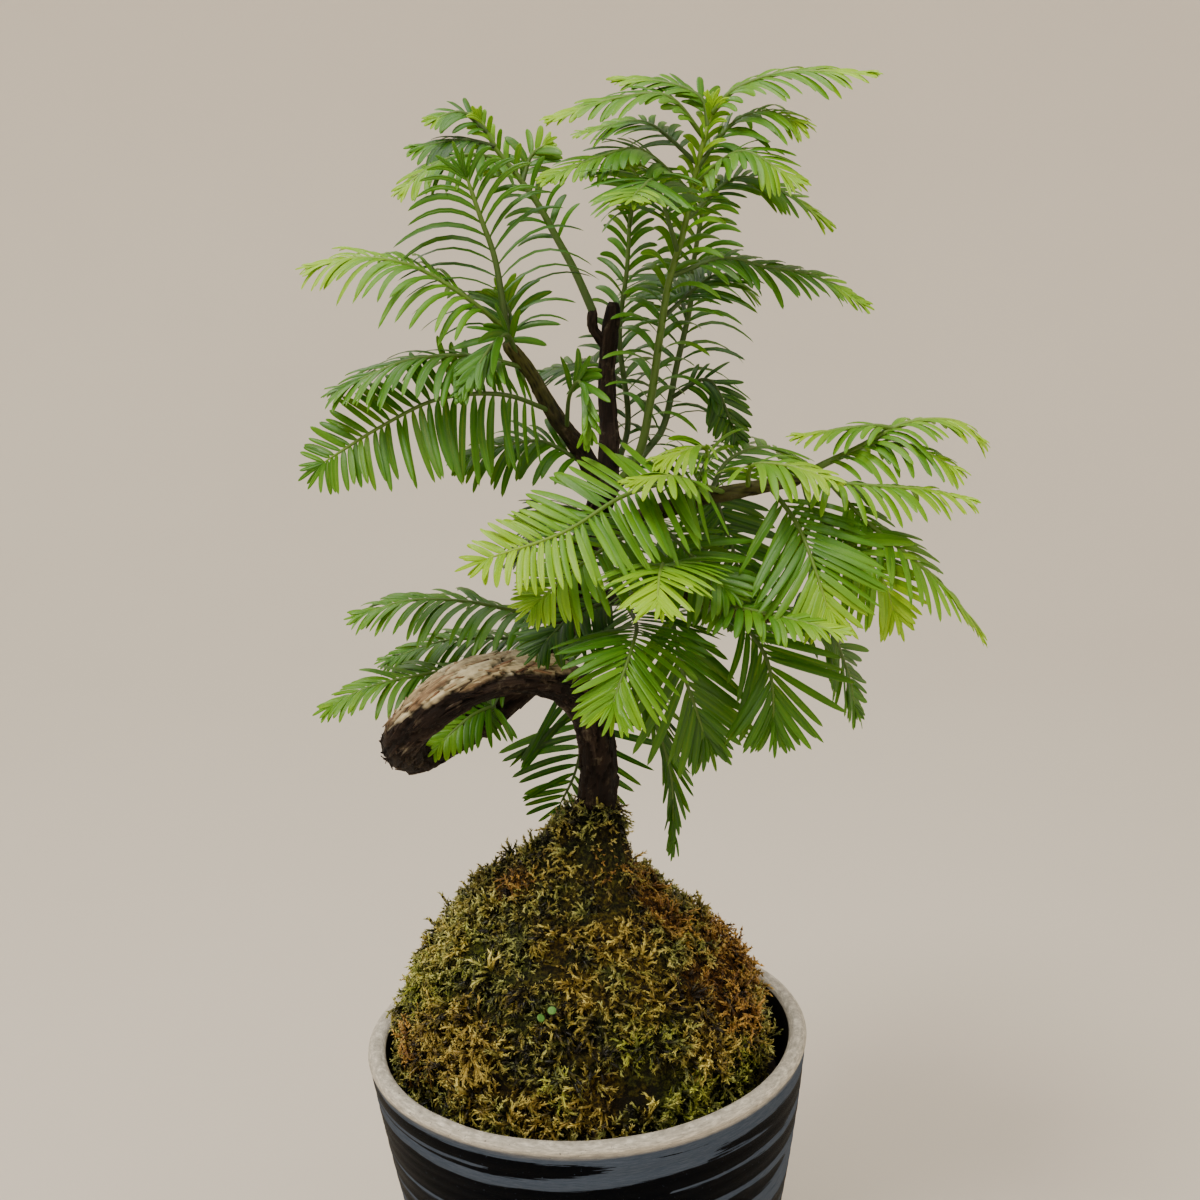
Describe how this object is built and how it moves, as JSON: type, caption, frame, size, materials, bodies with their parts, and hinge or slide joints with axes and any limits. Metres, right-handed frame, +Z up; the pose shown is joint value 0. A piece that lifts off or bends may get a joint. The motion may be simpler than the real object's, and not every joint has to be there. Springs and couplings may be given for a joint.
{
  "type": "dawn redwood bonsai",
  "caption": "Small potted conifer with a corkscrew trunk, flat feathery needle sprays and a mossy mound in a round tapered glazed pot.",
  "frame": {"origin": "middle of the pot base, on the surface that it stands on", "axes": "+Z up along the tree; the front of the tree faces -Y, and its taller leader stands to the +X side"},
  "size_m": [0.1304, 0.098, 0.2664],
  "materials": {
    "glaze": "glazed stoneware, satin",
    "soil": "damp potting soil",
    "moss": "matte, soft",
    "bark": "rough, fissured",
    "leaf": "soft satin"
  },
  "bodies": {
    "root": {"pot": "glaze", "soil": "soil", "moss": "moss", "trunk": "bark", "shoot_behind": "leaf", "shoot_front_low": "leaf", "shoot_front_lower": "leaf", "shoot_front_mid": "leaf", "shoot_in_loop": "leaf", "shoot_inner_left": "leaf", "shoot_leader": "leaf", "shoot_left_fan": "leaf", "shoot_left_front": "leaf", "shoot_left_high": "leaf", "shoot_left_low": "leaf", "shoot_left_mid": "leaf", "shoot_left_top": "leaf", "shoot_low_back": "leaf", "shoot_low_fan": "leaf", "shoot_low_far": "leaf", "shoot_low_hanging": "leaf", "shoot_low_inner": "leaf", "shoot_low_right": "leaf", "shoot_rear_left": "leaf", "shoot_rear_right": "leaf", "shoot_right_back": "leaf", "shoot_right_fan": "leaf", "shoot_right_far": "leaf", "shoot_right_front": "leaf", "shoot_right_up": "leaf", "shoot_right_up_far": "leaf", "shoot_second": "leaf", "shoot_side_high": "leaf", "shoot_side_low": "leaf", "shoot_side_mid": "leaf", "shoot_stub": "leaf", "shoot_third": "leaf"}
  },
  "joints": []
}
